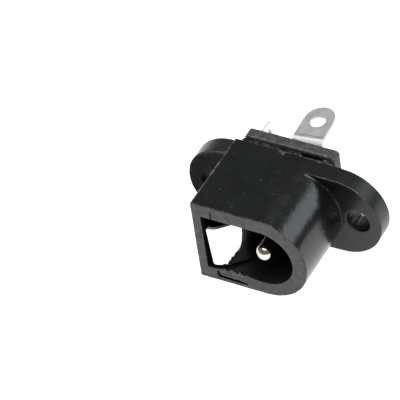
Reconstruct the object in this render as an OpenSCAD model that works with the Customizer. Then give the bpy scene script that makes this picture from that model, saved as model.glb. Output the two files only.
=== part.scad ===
// Panel-mount dc power socket with solder tags.
// Frame: +Y runs from the open mating end towards the solder tags, +Z is up,
// +X points from the flat end of the D-shaped body to its round end.
// The origin is on the axis of the centre pin, in the plane of the flange
// face that meets the panel. The socket lies on its long flat side.

/* [Body] */
// Height across the two long flat sides of the body
body_h = 11; // [10.8:0.1:11.6]
// Distance from the pin axis to the flat end of the body
body_flat = 8.1; // [8.05:0.05:8.6]
// Length of the body in front of the flange
body_depth = 8.8; // [8.6:0.1:9.4]
// Height of the socket opening
cavity_h = 7.6; // [7.4:0.1:7.8]
// Distance from the pin axis to the flat end wall of the opening
cavity_flat = 7.05; // [7:0.05:7.1]

/* [Flange] */
// Thickness of the mounting flange
flange_t = 2.15; // [2.05:0.05:2.3]
// End radius of the two ears
ear_r = 5.22; // [5.1:0.02:5.3]
// Distance from the pin axis to the end arc centre of the ear at the flat end
ear_a = 8.28; // [8.2:0.02:8.4]
// Distance from the pin axis to the end arc centre of the ear at the round end
ear_b = 5.0; // [4.9:0.05:5.2]
// Diameter of the screw holes
hole_d = 2.9; // [2.8:0.1:3.1]
// Distance between the two screw holes
hole_pitch = 18; // [17.9:0.05:18.2]
// Distance from the pin axis to the screw hole at the round end
hole_b = 7.45; // [7.4:0.05:7.6]

/* [Terminal board] */
// Height of the raised boss that carries the board
boss_t = 1.2; // [1.1:0.05:1.3]
// Thickness of the laminate board
board_t = 1.25; // [1.15:0.05:1.35]
// Distance from the pin axis to the board edge at the flat end
board_a = 7.65; // [7.6:0.05:7.75]
// Distance from the pin axis to the board edge at the round end
board_b = 3.45; // [3.3:0.05:3.6]
// Width of the board across the long edges
board_w = 10.4; // [10:0.05:10.6]

/* [Centre contact] */
// Diameter of the centre pin
pin_d = 2.0; // [1.95:0.05:2.1]
// Distance of the pin tip behind the mating face
pin_recess = 0.05; // [0.05:0.05:0.6]
// Outer diameter of the rolled rivet end of the pin
rivet_d = 2.64; // [2.6:0.02:2.7]
// Angle by which the centre tag is turned about the pin
tag_turn = 7.4; // [0:0.2:8]

/* [Tags] */
// Thickness of the contact sheet
sheet_t = 0.4; // [0.36:0.02:0.44]
// Width of the centre tag
tag_w = 3.8; // [3.6:0.02:3.9]
// Height of the centre tag above the board
tag_h = 5.4; // [5:0.1:5.8]
// Width of the two sleeve side tags
lug_w = 2.96; // [2.8:0.02:3.1]
// Height of the sleeve spring tag above the board
lug1_h = 5.1; // [5.0:0.1:6]
// Height of the switch contact tag above the board
lug2_h = 4.75; // [4.5:0.1:5.2]
// Diameter of the wire holes in the tags
wire_d = 1.9; // [1.8:0.02:2]
// Width of the sleeve spring leaf inside the opening
leaf_w = 5.4; // [5.2:0.1:5.6]

/* [Hidden] */
$fn = 96;
hr = body_h / 2;                      // outer round end radius
cr = cavity_h / 2;                    // inner round end radius
y_front = -body_depth;                // mating face
y_boss = flange_t + boss_t;           // seat of the board
y_board = y_boss + board_t;           // rear face of the board
hole_a = hole_pitch - hole_b;         // screw hole at the flat end
rim_s = 0.24;                         // section radius of the rolled rivet rim
spring_x = -7.6;                      // mid plane of the sleeve spring tag
switch_x = -3.3;                      // mid plane of the switch contact
lug1_z = 1.1;                         // middle of the sleeve spring tag
leaf_z = -0.8;                        // middle of the sleeve spring leaf
lug2_z = -1.36;                       // middle of the switch contact tag
notch_w = 3.7;                        // opening in the board edge for the sleeve spring
side_w = 3.5;                         // shouldered width of the sleeve spring in that opening
bend_r = 0.35;                        // inner radius of the centre tag's fold

// Extrudes a flat outline drawn in X and Z along Y, from y0 to y1
module along_y(y0, y1) {
    translate([0, y1, 0]) rotate([90, 0, 0]) linear_extrude(y1 - y0) children();
}
// Extrudes a flat outline drawn in X and Y along Z, from z0 to z1
module along_z(z0, z1) {
    translate([0, 0, z0]) linear_extrude(z1 - z0) children();
}
// Extrudes a flat outline drawn in Y and Z along X, from x0 to x1
module along_x(x0, x1) {
    translate([x0, 0, 0]) rotate([90, 0, 90]) linear_extrude(x1 - x0) children();
}
// D-shaped outline: flat end at -a, round end of radius r about the pin axis
module dee(a, r) {
    translate([-a, -r]) square([a, 2 * r]);
    circle(r = r);
}
// Rectangle with its four corners cut off by c
module cut_rect(x0, x1, z0, z1, c) {
    polygon([[x0 + c, z0], [x1 - c, z0], [x1, z0 + c], [x1, z1 - c],
             [x1 - c, z1], [x0 + c, z1], [x0, z1 - c], [x0, z0 + c]]);
}
// Unit vector from p to q
function unit(p, q) = (q - p) / norm(q - p);
// Turn angle at a corner, and where its bend arc starts, ends and is centred
function turn(p, q, s) = acos(min(1, max(-1, unit(p, q) * unit(q, s))));
function side(p, q, s) = sign(unit(p, q)[0] * unit(q, s)[1] - unit(p, q)[1] * unit(q, s)[0]);
function back(p, q, s, r) = r * tan(turn(p, q, s) / 2);
function arc_in(p, q, s, r) = q - unit(p, q) * back(p, q, s, r);
function arc_out(p, q, s, r) = q + unit(q, s) * back(p, q, s, r);
function mid(p, q, s, r) = arc_in(p, q, s, r) + side(p, q, s) * r * [-unit(p, q)[1], unit(p, q)[0]];
// Points round the bend at corner i, on the side offset by k half thicknesses to the left
function bend_pts(p, rr, i, k, t) =
    let (c = mid(p[i - 1], p[i], p[i + 1], rr[i]),
         u = arc_in(p[i - 1], p[i], p[i + 1], rr[i]) - c,
         s = side(p[i - 1], p[i], p[i + 1]),
         w = turn(p[i - 1], p[i], p[i + 1]),
         a = atan2(u[1], u[0]),
         n = ceil(w / 5))
    [for (j = [0 : n]) c + (rr[i] - s * k * t / 2) * [cos(a + s * w * j / n), sin(a + s * w * j / n)]];
function left(p, q) = [-unit(p, q)[1], unit(p, q)[0]];
// One side of the sheet from its first end to its last
function sheet_side(p, rr, k, t) =
    let (n = len(p) - 1)
    concat([p[0] + k * t / 2 * left(p[0], p[1])],
           [for (i = [1 : n - 1]) for (q = bend_pts(p, rr, i, k, t)) q],
           [p[n] + k * t / 2 * left(p[n - 1], p[n])]);
// Section of a sheet of thickness t along the corner points p, bent to mid radius rr[i] at each
module strip(p, rr, t) {
    f = sheet_side(p, rr, 1, t);
    g = sheet_side(p, rr, -1, t);
    polygon(concat(f, [for (i = [len(g) - 1 : -1 : 0]) g[i]]));
}
// Outline of a solder tag: straight sides and a full round end
module tag_outline(w, y0, y1) {
    translate([y0, -w / 2]) square([y1 - w / 2 - y0, w]);
    translate([y1 - w / 2, 0]) circle(r = w / 2);
}
// Mounting flange: two ears that run out of the body's flat sides
module flange_outline() {
    d = sqrt(pow(ear_b + 4.4, 2) + hr * hr);
    th = 180 - atan2(hr, ear_b + 4.4) - acos(ear_r / d);
    tx = ear_b + ear_r * cos(th);
    tz = ear_r * sin(th);
    translate([-body_flat, -hr]) square([body_flat - 4.4, 2 * hr]);
    polygon([[-4.41, hr], [-4.4, hr], [tx, tz], [tx, -tz], [-4.4, -hr], [-4.41, -hr]]);
    translate([ear_b, 0]) circle(r = ear_r);
    translate([-ear_a, 0]) circle(r = ear_r);
}
// Screw hole through an ear with a slight bevel at both faces
module screw_hole(x) {
    translate([x, -1, 0]) rotate([-90, 0, 0]) cylinder(d = hole_d, h = flange_t + 2);
    translate([x, -0.01, 0]) rotate([-90, 0, 0]) cylinder(d1 = hole_d + 0.12, d2 = hole_d, h = 0.06);
    translate([x, flange_t - 0.05, 0]) rotate([-90, 0, 0]) cylinder(d1 = hole_d, d2 = hole_d + 0.12, h = 0.06);
}
// One-piece moulded housing
module housing() {
    color([0.09, 0.09, 0.095]) difference() {
        union() {
            along_y(y_front, flange_t) dee(body_flat, hr);
            along_y(0, flange_t) flange_outline();
            // boss with sloped ends and cut corners
            intersection() {
                along_y(flange_t - 0.2, y_boss) cut_rect(-8.35, board_b + 0.05, -4.75, 4.75, 0.6);
                along_z(-5, 5) polygon([[-8.38, flange_t - 0.3], [-8.05, y_boss], [board_b - 0.2, y_boss], [board_b + 0.05, flange_t - 0.3]]);
            }
        }
        // socket opening, through to the board
        along_y(y_front - 1, y_boss + 1) dee(cavity_flat, cr);
        screw_hole(hole_b);
        screw_hole(-hole_a);
        // channel for the sleeve spring beside the board
        along_y(flange_t - 0.55, y_boss + 1) translate([-7.95, lug1_z - notch_w / 2]) square([1.2, notch_w]);
        // fine mould insert lines on the mating face
        translate([-5.8, y_front - 1, 3.7]) cube([0.13, 1.07, 1.15]);
        translate([-5.81, y_front - 1, -4.75]) cube([0.13, 1.07, 1.1]);
        translate([-5.6, y_front - 1, -4.95]) cube([3.2, 1.07, 0.13]);
        translate([-5.81, y_front - 1, -4.75]) rotate([0, 45, 0]) cube([0.3, 1.07, 0.13]);
        // gap left under the board's upper edge
        translate([0.2, y_boss - 0.4, 4.0]) cube([2.5, 1, 1]);
    }
}
// Laminate board that closes the rear and carries the contacts
module terminal_board() {
    color([0.13, 0.12, 0.12]) difference() {
        along_y(y_boss, y_board) cut_rect(-board_a, board_b, -board_w / 2, board_w / 2, 0.3);
        // rivet hole
        translate([0, y_boss - 1, 0]) rotate([-90, 0, 0]) cylinder(d = 2.2, h = board_t + 2);
        // edge opening for the sleeve spring
        along_y(y_boss - 1, y_board + 1) translate([-board_a - 1, lug1_z - notch_w / 2]) square([1 + board_a + spring_x + sheet_t / 2 + 0.03, notch_w]);
        // slot for the switch contact
        along_y(y_boss - 1, y_board + 1) translate([switch_x - sheet_t / 2 - 0.02, lug2_z - lug_w / 2 - 0.04]) square([sheet_t + 0.04, lug_w + 0.08]);
    }
}
// Turned centre pin with a ball tip, a collar and a hollow rivet end
module centre_pin() {
    tip = y_front + pin_recess + pin_d / 2;
    y_top = y_board + sheet_t + 0.62;
    color([0.83, 0.8, 0.74]) difference() {
        union() {
            translate([0, tip, 0]) sphere(d = pin_d);
            translate([0, tip, 0]) rotate([-90, 0, 0]) cylinder(d = pin_d, h = y_boss - tip - 0.3);
            translate([0, y_boss - 0.8, 0]) rotate([-90, 0, 0]) cylinder(d = 3.6, h = 0.8);
            translate([0, y_boss - 0.5, 0]) rotate([-90, 0, 0]) cylinder(d = 2.1, h = y_top - y_boss + 0.5);
            translate([0, y_board + sheet_t, 0]) rotate([-90, 0, 0]) cylinder(d1 = 3.1, d2 = rivet_d - 0.1, h = 0.62);
            translate([0, y_top, 0]) rotate([-90, 0, 0]) rotate_extrude() translate([rivet_d / 2 - rim_s, 0]) circle(r = rim_s);
        }
        translate([0, y_board - 1.2, 0]) rotate([-90, 0, 0]) cylinder(r = rivet_d / 2 - 2 * rim_s, h = 6);
    }
}
// Centre contact: a ring under the rivet with a tag folded up at the board's long edge
module centre_terminal() {
    zf = 5.38 - sheet_t / 2;          // mid plane of the tag
    yf = y_board + sheet_t / 2;       // mid plane of the flat part
    lean = 4.5;                       // outward lean of the tag
    y_end = y_board + tag_h;
    color([0.8, 0.81, 0.82]) rotate([0, -tag_turn, 0]) difference() {
        union() {
            along_y(y_board, y_board + sheet_t) {
                circle(r = 2.55);
                translate([-tag_w / 2, 0]) square([tag_w, zf - 0.8]);
            }
            // folded part, cut to the tag's outline
            intersection() {
                along_x(-tag_w / 2, tag_w / 2)
                    strip([[yf, zf - 1.2], [yf, zf], [y_end + 1, zf + (y_end + 1 - yf) * tan(lean)]], [0, bend_r + sheet_t / 2], sheet_t);
                along_z(0, 9) rotate([0, 0, 90]) tag_outline(tag_w, y_board - 1, y_end);
            }
        }
        // rivet hole
        translate([0, y_board - 1, 0]) rotate([-90, 0, 0]) cylinder(d = 2.2, h = 3);
        // wire hole, square to the leaning tag
        translate([0, y_board + 3.2, zf + (y_board + 3.2 - yf) * tan(lean)]) rotate([lean, 0, 0]) cylinder(d = wire_d, h = 3, center = true);
    }
}
// Sleeve contact: tag, shoulder in the board edge, and a wide leaf that bows towards the pin
module sleeve_spring() {
    y_end = y_board + lug1_h;
    path = [[spring_x, y_end + 1], [spring_x, y_board + 0.16], [spring_x - 0.13, y_board - 0.2], [spring_x - 0.13, y_boss - 0.25],
            [-6.8, flange_t - 0.35], [-2.3, -4.05], [-3.75, -6.2], [-5.85, y_front + 0.5], [-6.75, y_front + 0.43]];
    bend = [0, 0.5, 0.5, 0.5, 0.9, 1.5, 5, 1.4, 0];
    color([0.82, 0.83, 0.84]) difference() {
        intersection() {
            along_z(-5, 5) strip(path, bend, sheet_t);
            union() {
                // tag
                along_x(-10, 0) translate([0, lug1_z]) tag_outline(lug_w, y_board - 0.2, y_end);
                // shoulder between the leaf and the tag
                along_x(-10, 0) translate([flange_t + 0.15, lug1_z - side_w / 2]) square([boss_t + board_t - 0.3, side_w]);
                // leaf, narrowed where it leaves the opening
                along_x(-10, 0) polygon([[2.5, lug1_z - lug_w / 2], [2.5, lug1_z + lug_w / 2], [1.2, lug1_z + lug_w / 2], [0.6, leaf_z + leaf_w / 2],
                                         [-6, leaf_z + leaf_w / 2], [-6, leaf_z - leaf_w / 2], [-1.4, leaf_z - leaf_w / 2], [1.2, lug1_z - lug_w / 2]]);
                // lead-in lip with rounded corners
                along_y(y_front - 1, -5.9) translate([0, leaf_z]) {
                    translate([-6.2, -leaf_w / 2]) square([6, leaf_w]);
                    translate([-6.8, 0.5 - leaf_w / 2]) square([2, leaf_w - 1]);
                    for (s = [-1, 1]) translate([-6.25, s * (leaf_w / 2 - 0.5)]) circle(r = 0.5);
                }
            }
        }
        // wire hole
        translate([-10, y_end - 2.1, lug1_z]) rotate([0, 90, 0]) cylinder(d = wire_d, h = 5);
    }
}
// Switch contact: a straight strip from its tag to the back of the leaf
module switch_contact() {
    y_end = y_board + lug2_h;
    color([0.82, 0.83, 0.84]) difference() {
        along_x(switch_x - sheet_t / 2, switch_x + sheet_t / 2) translate([0, lug2_z]) tag_outline(lug_w, -2.13, y_end);
        // wire hole
        translate([-10, y_board + 2.5, lug2_z]) rotate([0, 90, 0]) cylinder(d = wire_d, h = 12);
    }
}

housing();
terminal_board();
centre_pin();
centre_terminal();
sleeve_spring();
switch_contact();
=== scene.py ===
import math
import bpy, bmesh
import numpy as np
from mathutils import Matrix, Vector
from mathutils.geometry import delaunay_2d_cdt


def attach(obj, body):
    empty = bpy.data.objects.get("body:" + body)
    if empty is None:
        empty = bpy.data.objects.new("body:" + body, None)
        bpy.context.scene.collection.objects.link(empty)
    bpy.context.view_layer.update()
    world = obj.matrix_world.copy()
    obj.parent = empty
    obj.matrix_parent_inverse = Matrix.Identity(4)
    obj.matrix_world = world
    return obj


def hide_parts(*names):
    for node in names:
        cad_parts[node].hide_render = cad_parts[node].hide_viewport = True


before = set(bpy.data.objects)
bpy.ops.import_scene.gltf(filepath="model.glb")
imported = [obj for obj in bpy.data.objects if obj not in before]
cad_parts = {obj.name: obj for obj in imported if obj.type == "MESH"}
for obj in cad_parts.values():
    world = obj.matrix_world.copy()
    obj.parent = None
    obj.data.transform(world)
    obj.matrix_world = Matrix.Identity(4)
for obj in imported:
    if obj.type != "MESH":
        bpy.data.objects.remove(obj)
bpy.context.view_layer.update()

scene = bpy.context.scene
MM = 0.001

# ---------------------------------------------------------------- camera
R = ((0.87940564, 0.46144096, -0.11712373), (0.24440648, -0.64871842, -0.72071484), (-0.40854767, 0.6051749, -0.6832658))
EYE = (146.6138 * MM, -235.8608 * MM, 262.7894 * MM)
cam_data = bpy.data.cameras.new("camera")
cam = bpy.data.objects.new("camera", cam_data)
scene.collection.objects.link(cam)
cam.matrix_world = Matrix((
    (R[0][0], -R[1][0], -R[2][0], EYE[0]),
    (R[0][1], -R[1][1], -R[2][1], EYE[1]),
    (R[0][2], -R[1][2], -R[2][2], EYE[2]),
    (0, 0, 0, 1)))
cam_data.sensor_width = 36.0
cam_data.lens = 3481.8 / 400 * 36.0
cam_data.clip_start = 0.01
cam_data.clip_end = 10
scene.camera = cam

# ---------------------------------------------------------------- sizes, mm, as the CAD model has them
HR, FLAT, FRONT = 5.5, 8.1, -8.8            # body: half height, flat end, mating face
CR, CFLAT, WIRE = 3.8, 7.05, 0.95                       # opening
FT, Y_BOSS, Y_BOARD = 2.15, 3.35, 4.6       # flange thickness, board seat, board rear
EAR_R, EAR_A, EAR_B = 5.22, 8.28, 5.0
HOLE_R, HOLE_A, HOLE_B = 1.44, 10.55, 7.45
T = 0.4                                     # contact sheet
LUG_Z, LEAF0, LEAF1 = 1.1, -3.5, 1.9        # sleeve spring: middle of its tag, edges of its leaf


# ---------------------------------------------------------------- noise
def _hash(i, seed):
    n = (i[..., 0] * 374761393 + i[..., 1] * 668265263 + i[..., 2] * 1440662683 + seed * 974634777) & 0xFFFFFFFF
    n = ((n ^ (n >> 13)) * 1274126177) & 0xFFFFFFFF
    n = n ^ (n >> 16)
    return (n & 0xFFFFFF) / float(0xFFFFFF)


def noise(p, size, seed=0):
    """Smooth noise from -1 to 1 at points p (n x 3, mm) with cells of the given size."""
    q = np.asarray(p, float) / size + 71.3
    i = np.floor(q).astype(np.int64)
    f = q - i
    f = f * f * (3 - 2 * f)
    out = np.zeros(len(q))
    for dx in (0, 1):
        for dy in (0, 1):
            for dz in (0, 1):
                w = (f[:, 0] if dx else 1 - f[:, 0]) * (f[:, 1] if dy else 1 - f[:, 1]) * (f[:, 2] if dz else 1 - f[:, 2])
                out += w * _hash(i + np.array([dx, dy, dz]), seed)
    return out * 2 - 1


# ---------------------------------------------------------------- outlines: points and outward normals, counter-clockwise
def line(p, q, step):
    p, q = np.array(p, float), np.array(q, float)
    d = q - p
    n = max(1, int(round(np.linalg.norm(d) / step)))
    t = np.arange(n)[:, None] / n
    d = d / np.linalg.norm(d)
    return p + t * (q - p), np.tile([d[1], -d[0]], (n, 1))


def arc(c, r, a0, a1, step):
    n = max(3, int(math.ceil(abs(math.radians(a1 - a0)) * r / step)))
    a = np.radians(a0 + (a1 - a0) * np.arange(n) / n)
    u = np.stack([np.cos(a), np.sin(a)], 1)
    return np.array(c, float) + r * u, (u if a1 > a0 else -u)


def join(*parts):
    return np.concatenate([p for p, _ in parts]), np.concatenate([n for _, n in parts])


def circle(c, r, step, hole=False):
    p, n = arc(c, r, 0, 360, step)
    return (p, -n) if hole else (p, n)


def rounded(pts, rad, step):
    """Polygon with rounded corners; counter-clockwise."""
    pts = [np.array(p, float) for p in pts]
    m = len(pts)
    P, N = [], []
    ends = []
    for i in range(m):
        p, r = pts[i], rad[i]
        a, b = pts[i - 1] - p, pts[(i + 1) % m] - p
        a, b = a / np.linalg.norm(a), b / np.linalg.norm(b)
        ang = math.acos(max(-1, min(1, a @ b)))
        cross = (-a[0]) * b[1] - (-a[1]) * b[0]
        s = 1 if cross > 0 else -1
        bis = (a + b) / np.linalg.norm(a + b)
        if r <= 1e-6:
            cp, cn = p[None], (-s * bis / math.sin(ang / 2))[None]
        else:
            c = p + bis * r / math.sin(ang / 2)
            st = p + a * r / math.tan(ang / 2) - c
            n = max(2, int(math.ceil((math.pi - ang) * r / step)))
            a0 = math.atan2(st[1], st[0])
            t = a0 + s * (math.pi - ang) * np.arange(n + 1) / n
            u = np.stack([np.cos(t), np.sin(t)], 1)
            cp, cn = c + r * u, s * u
        ends.append((cp, cn))
    for i in range(m):
        cp, cn = ends[i]
        P.append(cp); N.append(cn)
        q0, q1 = cp[-1], ends[(i + 1) % m][0][0]
        L = np.linalg.norm(q1 - q0)
        k = int(round(L / step))
        if k > 1:
            t = np.arange(1, k)[:, None] / k
            d = (q1 - q0) / L
            P.append(q0 + t * (q1 - q0)); N.append(np.tile([d[1], -d[0]], (k - 1, 1)))
    return np.concatenate(P), np.concatenate(N)


def as_hole(o):
    return o[0], -o[1]


def inside(pts, loops):
    """Even-odd test of points against closed loops."""
    x, y = pts[:, 0], pts[:, 1]
    odd = np.zeros(len(pts), bool)
    for L in loops:
        a, b = L, np.roll(L, -1, 0)
        for k in range(0, len(a), 256):
            ax, ay, bx, by = a[k:k + 256, 0], a[k:k + 256, 1], b[k:k + 256, 0], b[k:k + 256, 1]
            c = (ay[None] > y[:, None]) != (by[None] > y[:, None])
            with np.errstate(divide="ignore", invalid="ignore"):
                xi = ax[None] + (y[:, None] - ay[None]) * (bx - ax)[None] / (by - ay)[None]
            odd ^= (np.sum(c & (x[:, None] < xi), 1) % 2).astype(bool)
    return odd


def fill(loops, grid, clear, lines=None):
    """Triangulates the region between the loops, with the interior points of grid. Returns 2-D points and triangles."""
    pts, edges = [], []
    n0 = 0
    for L in loops:
        pts.append(L)
        k = len(L)
        edges += [(n0 + i, n0 + (i + 1) % k) for i in range(k)]
        n0 += k
    every = np.concatenate(loops)
    if grid is not None and len(grid):
        g = grid[inside(grid, loops)]
        keep = np.ones(len(g), bool)
        for k in range(0, len(every), 200):
            d = np.linalg.norm(g[:, None] - every[None, k:k + 200], axis=2).min(1)
            keep &= d > clear
        pts.append(g[keep])
    if lines:
        for L in lines:
            pts.append(L)
            base = sum(len(p) for p in pts[:-1])
            edges += [(base + i, base + (i + 1) % len(L)) for i in range(len(L))]
    P = np.concatenate(pts)
    out = delaunay_2d_cdt([Vector(p) for p in P], edges, [], 0, 1e-7, False)
    v = np.array([tuple(p) for p in out[0]])
    f = np.array([tuple(t) for t in out[2]])
    c = v[f].mean(1)
    f = f[inside(c, loops)]
    return v, f


def hexgrid(lo, hi, h):
    rows = np.arange(lo[1], hi[1], h * 0.866)
    g = [np.stack([np.arange(lo[0] + (h / 2 if k % 2 else 0), hi[0], h), np.full(len(np.arange(lo[0] + (h / 2 if k % 2 else 0), hi[0], h)), r)], 1) for k, r in enumerate(rows)]
    return np.concatenate(g)


# ---------------------------------------------------------------- mesh building
class Build:
    def __init__(self):
        self.v, self.f, self.w, self.n = [], [], [], 0

    def add(self, v, f, w=0.0):
        v = np.asarray(v, float)
        self.v.append(v)
        self.w.append(np.broadcast_to(np.asarray(w, float), (len(v),)).copy())
        self.f += [tuple(int(i) + self.n for i in t) for t in f]
        self.n += len(v)

    def rings(self, rings, w=None, closed=True):
        k = len(rings[0])
        v = np.concatenate(rings)
        f = []
        for r in range(len(rings) - 1):
            for i in range(k if closed else k - 1):
                j = (i + 1) % k
                f.append((r * k + i, r * k + j, (r + 1) * k + j, (r + 1) * k + i))
        self.add(v, f, 0.0 if w is None else np.concatenate([np.broadcast_to(np.asarray(x, float), (k,)) for x in w]))

    def obj(self, name, node, slot, mat, merge=2e-4, angle=40, attr="wear_and_glint", weighted=True):
        me = bpy.data.meshes.new(name)
        v = np.concatenate(self.v)
        me.from_pydata([tuple(p) for p in v], [], self.f)
        a = me.attributes.new(attr, "FLOAT", "POINT")
        a.data.foreach_set("value", np.concatenate(self.w).astype(np.float32))
        bm = bmesh.new()
        bm.from_mesh(me)
        bmesh.ops.remove_doubles(bm, verts=bm.verts, dist=merge)
        bmesh.ops.dissolve_degenerate(bm, edges=bm.edges, dist=1e-5)
        bmesh.ops.recalc_face_normals(bm, faces=bm.faces)
        for fc in bm.faces:
            fc.smooth = True
        bmesh.ops.scale(bm, vec=(MM, MM, MM), verts=bm.verts)
        bm.to_mesh(me)
        bm.free()
        me.set_sharp_from_angle(angle=math.radians(angle))
        o = bpy.data.objects.new(name, me)
        scene.collection.objects.link(o)
        me.materials.append(mat)
        if weighted:
            wn = o.modifiers.new("normals", "WEIGHTED_NORMAL")
            wn.keep_sharp = True
            wn.weight = 50
        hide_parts(node)
        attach(o, "root")
        return o


def xz(P, y):
    """2-D outline points in X and Z at a depth y (a number or one per point)."""
    return np.stack([P[:, 0], np.broadcast_to(y, (len(P),)), P[:, 1]], 1)


# ---------------------------------------------------------------- node materials
class Mat:
    def __init__(self, name):
        self.m = bpy.data.materials.new(name)
        self.m.use_nodes = True
        self.t = self.m.node_tree
        self.b = self.t.nodes["Principled BSDF"]
        tc = self.t.nodes.new("ShaderNodeTexCoord")
        mp = self.t.nodes.new("ShaderNodeMapping")
        mp.inputs["Scale"].default_value = (1000, 1000, 1000)
        self.t.links.new(tc.outputs["Object"], mp.inputs["Vector"])
        self.co = mp.outputs["Vector"]

    def new(self, kind, **kw):
        n = self.t.nodes.new(kind)
        for k, v in kw.items():
            setattr(n, k, v)
        return n

    def put(self, socket, value):
        if hasattr(value, "links") or isinstance(value, bpy.types.NodeSocket):
            self.t.links.new(value, socket)
        else:
            socket.default_value = value

    def math(self, op, a, b=0.0, c=0.0, clamp=False):
        n = self.new("ShaderNodeMath", operation=op, use_clamp=clamp)
        self.put(n.inputs[0], a); self.put(n.inputs[1], b); self.put(n.inputs[2], c)
        return n.outputs[0]

    def noise(self, scale, detail=3, rough=0.55, co=None, w=0.0):
        n = self.new("ShaderNodeTexNoise", noise_dimensions="4D")
        self.put(n.inputs["Vector"], co or self.co)
        n.inputs["Scale"].default_value = scale
        n.inputs["Detail"].default_value = detail
        n.inputs["Roughness"].default_value = rough
        n.inputs["W"].default_value = w
        return n.outputs["Fac"]

    def voronoi(self, scale, feature="F1", co=None, rnd=1.0):
        n = self.new("ShaderNodeTexVoronoi", feature=feature)
        self.put(n.inputs["Vector"], co or self.co)
        n.inputs["Scale"].default_value = scale
        n.inputs["Randomness"].default_value = rnd
        return n

    def mapping(self, rot=(0, 0, 0), scale=(1, 1, 1), loc=(0, 0, 0)):
        n = self.new("ShaderNodeMapping")
        self.t.links.new(self.co, n.inputs["Vector"])
        n.inputs["Rotation"].default_value = [math.radians(a) for a in rot]
        n.inputs["Scale"].default_value = scale
        n.inputs["Location"].default_value = loc
        return n.outputs["Vector"]

    def ramp(self, fac, stops, interp="LINEAR"):
        n = self.new("ShaderNodeValToRGB")
        n.color_ramp.interpolation = interp
        e = n.color_ramp.elements
        while len(e) < len(stops):
            e.new(0.5)
        for k, (pos, col) in enumerate(stops):
            e[k].position = pos
            e[k].color = (col, col, col, 1) if isinstance(col, (int, float)) else (*col, 1)
        self.put(n.inputs[0], fac)
        return n.outputs[0]

    def range(self, v, a, b, c, d, clamp=True):
        n = self.new("ShaderNodeMapRange", clamp=clamp)
        self.put(n.inputs["Value"], v)
        for k, x in zip(("From Min", "From Max", "To Min", "To Max"), (a, b, c, d)):
            self.put(n.inputs[k], x)
        return n.outputs["Result"]

    def mix(self, fac, a, b):
        n = self.new("ShaderNodeMix", data_type="RGBA")
        self.put(n.inputs[0], fac)
        for s, v in ((n.inputs[6], a), (n.inputs[7], b)):
            if isinstance(v, tuple):
                s.default_value = (*v, 1)
            else:
                self.t.links.new(v, s)
        return n.outputs[2]

    def attr(self, name):
        return self.new("ShaderNodeAttribute", attribute_name=name).outputs["Fac"]

    def axis(self, k):
        n = self.new("ShaderNodeSeparateXYZ")
        self.t.links.new(self.co, n.inputs[0])
        return n.outputs[k]

    def bump(self, height, distance, strength=1.0, normal=None):
        n = self.new("ShaderNodeBump")
        n.inputs["Strength"].default_value = strength
        n.inputs["Distance"].default_value = distance
        self.put(n.inputs["Height"], height)
        if normal is not None:
            self.t.links.new(normal, n.inputs["Normal"])
        return n.outputs["Normal"]

    def set(self, **kw):
        for k, v in kw.items():
            s = self.b.inputs[k.replace("_", " ")]
            if isinstance(v, tuple) and len(v) == 3 and s.type == "RGBA":
                v = (*v, 1)
            self.put(s, v)


def streaks(m, rot, scale, thresh, w, width=26.0, length=1.1):
    """Thin straight marks: noise stretched along one direction, kept only at its peaks and broken into short lengths."""
    co = m.mapping(rot=rot, scale=scale)
    a = m.noise(1.0, detail=1, rough=0.3, co=co, w=w)
    co2 = m.mapping(rot=rot, scale=(0.45, 0.45, 0.45))
    b = m.noise(1.0, detail=2, co=co2, w=w + 3.7)
    s = m.range(a, thresh, thresh + 0.02, 0.0, 1.0)
    g = m.range(b, 0.54, 0.62, 0.0, 1.0)
    return m.math("MULTIPLY", s, g)


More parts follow.
